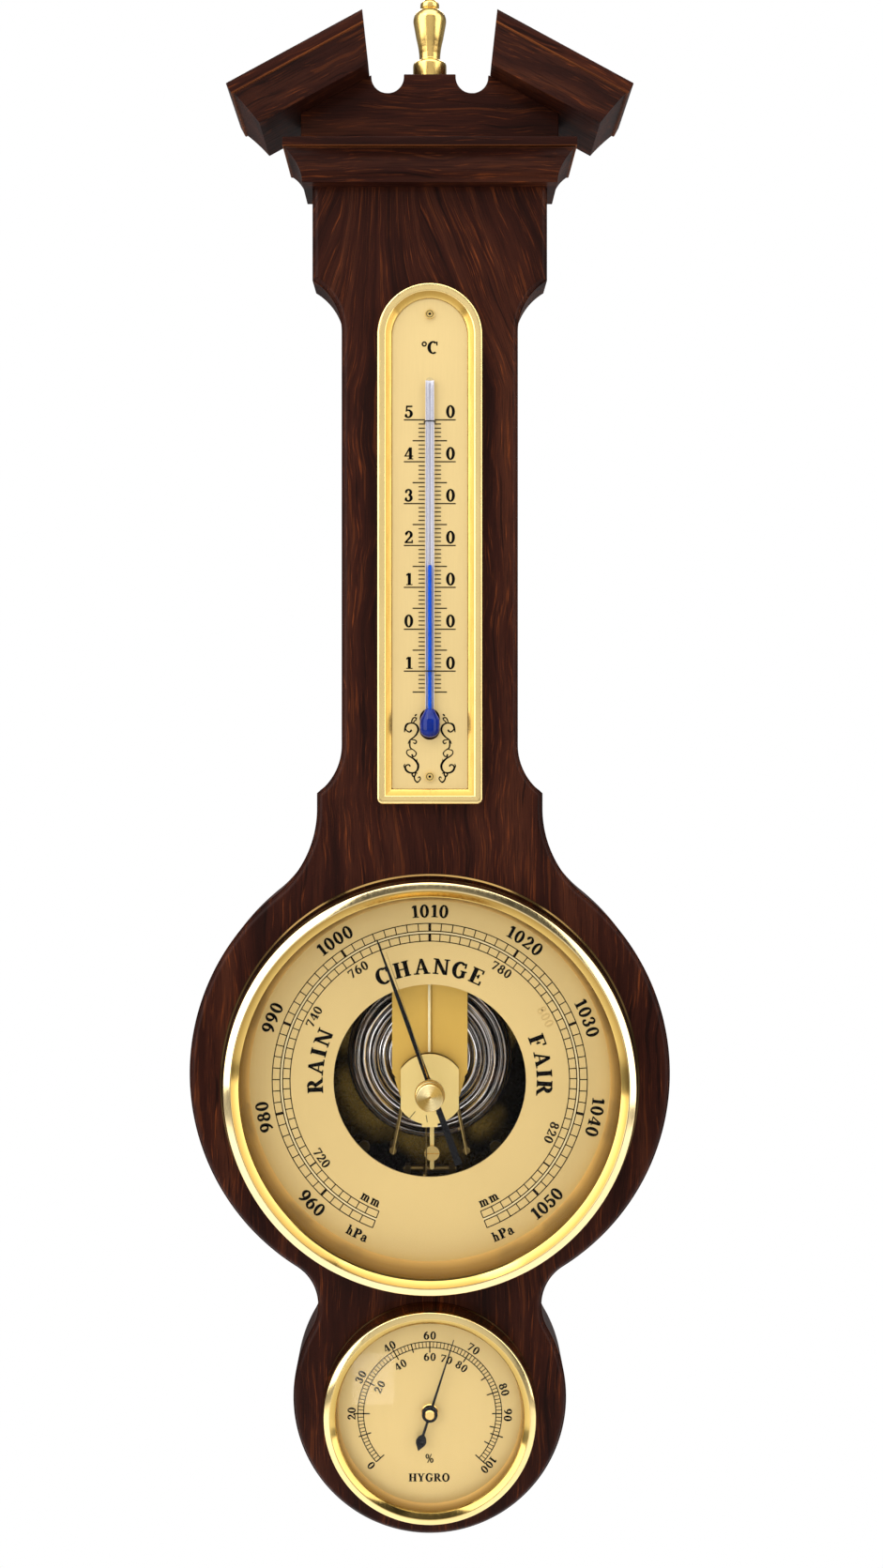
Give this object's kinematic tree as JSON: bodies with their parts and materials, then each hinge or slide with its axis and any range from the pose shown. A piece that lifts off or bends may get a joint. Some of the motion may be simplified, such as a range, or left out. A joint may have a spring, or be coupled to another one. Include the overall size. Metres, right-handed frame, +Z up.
{
  "type": "banjo wall barometer",
  "caption": "Wall barometer in a banjo-shaped moulded wooden case with a broken pediment, arched thermometer, open-dial aneroid barometer and hygrometer.",
  "frame": {"origin": "centre of the hanger's keyhole at the wall plane", "axes": "+Z up along the wall, +X to the viewer's right, -Y out of the wall towards the viewer"},
  "size_m": [0.1712, 0.0509, 0.5482],
  "materials": {
    "case_wood": "satin stained and lacquered",
    "dowel_wood": "plain",
    "polished_brass": "polished and lacquered",
    "satin_brass": "satin",
    "aged_brass": "dull",
    "movement_brass": "fine ground",
    "steel": "bright",
    "capsule_metal": "nickel plated",
    "black_enamel": "gloss black",
    "clear_glass": "polished",
    "blue_spirit": "clear liquid",
    "coil_foil": "thin treated strip"
  },
  "bodies": {
    "case": {"case_body": "case_wood", "case_dowels": "dowel_wood", "cornice": "case_wood", "cornice_dowels": "dowel_wood", "tympanum": "case_wood", "rake_dowels": "dowel_wood", "raking_cornice_left": "case_wood", "raking_cornice_right": "case_wood", "finial": "polished_brass", "finial_stud": "steel", "hanger_plate": "steel", "hanger_screws": "polished_brass", "thermometer_frame": "polished_brass", "thermometer_plate": "satin_brass", "thermometer_screws": "polished_brass", "thermometer_tube": "clear_glass", "thermometer_liquid": "blue_spirit", "tube_ties": "black_enamel", "barometer_housing": "aged_brass", "housing_screws": "polished_brass", "movement_base": "aged_brass", "base_screws": "steel", "dial_pillars": "movement_brass", "capsule": "capsule_metal", "capsule_post": "movement_brass", "bridge_foot": "aged_brass", "bridge_spring": "movement_brass", "bridge_screws": "movement_brass", "main_lever": "movement_brass", "lever_screw": "movement_brass", "shaft_lugs": "movement_brass", "cock_posts": "movement_brass", "cock_frame": "movement_brass", "cock_pillars": "movement_brass", "cock_plate": "satin_brass", "hairspring": "steel", "hairspring_stud": "movement_brass", "drive_chain": "steel", "barometer_dial": "satin_brass", "dial_reflector": "polished_brass", "barometer_glass": "clear_glass", "barometer_bezel": "polished_brass", "hygrometer_housing": "aged_brass", "coil_post": "movement_brass", "humidity_coil": "coil_foil", "arbor_step": "movement_brass", "hygrometer_dial": "satin_brass", "hand_bush": "movement_brass", "hygrometer_reflector": "polished_brass", "hygrometer_glass": "clear_glass", "hygrometer_bezel": "polished_brass"},
    "pressure_hand": {"pressure_hand": "black_enamel", "pointer_arbor": "steel"},
    "rocker": {"rocking_shaft": "steel"},
    "set_hand": {"set_knob": "polished_brass", "set_hand": "polished_brass"},
    "humidity_hand": {"humidity_hand": "black_enamel", "humidity_arbor": "steel"},
    "adjuster": {"capsule_adjuster": "movement_brass"}
  },
  "joints": [
    {"name": "pressure_hand_turn", "type": "hinge", "parent": "case", "child": "pressure_hand", "pos_m": [0, 0, -0.3048], "axis": [0, 1, 0], "range_deg": [-138.7, 178.7]},
    {"name": "rocking_shaft_turn", "type": "hinge", "parent": "case", "child": "rocker", "pos_m": [0, -0.006, -0.3398], "axis": [1, 0, 0], "range_deg": [-17, 13]},
    {"name": "set_hand_turn", "type": "hinge", "parent": "case", "child": "set_hand", "pos_m": [0, 0, -0.3048], "axis": [0, 1, 0], "continuous": true},
    {"name": "humidity_hand_turn", "type": "hinge", "parent": "case", "child": "humidity_hand", "pos_m": [0, 0, -0.42037], "axis": [0, 1, 0], "range_deg": [-149.8, 114.2]},
    {"name": "adjusting_screw_turn", "type": "hinge", "parent": "case", "child": "adjuster", "pos_m": [0, 0, -0.2978], "axis": [0, 1, 0], "range_deg": [-360, 360]}
  ],
  "couplings": [
    {"joint": "rocking_shaft_turn", "follows": "pressure_hand_turn", "ratio": -0.09}
  ]
}
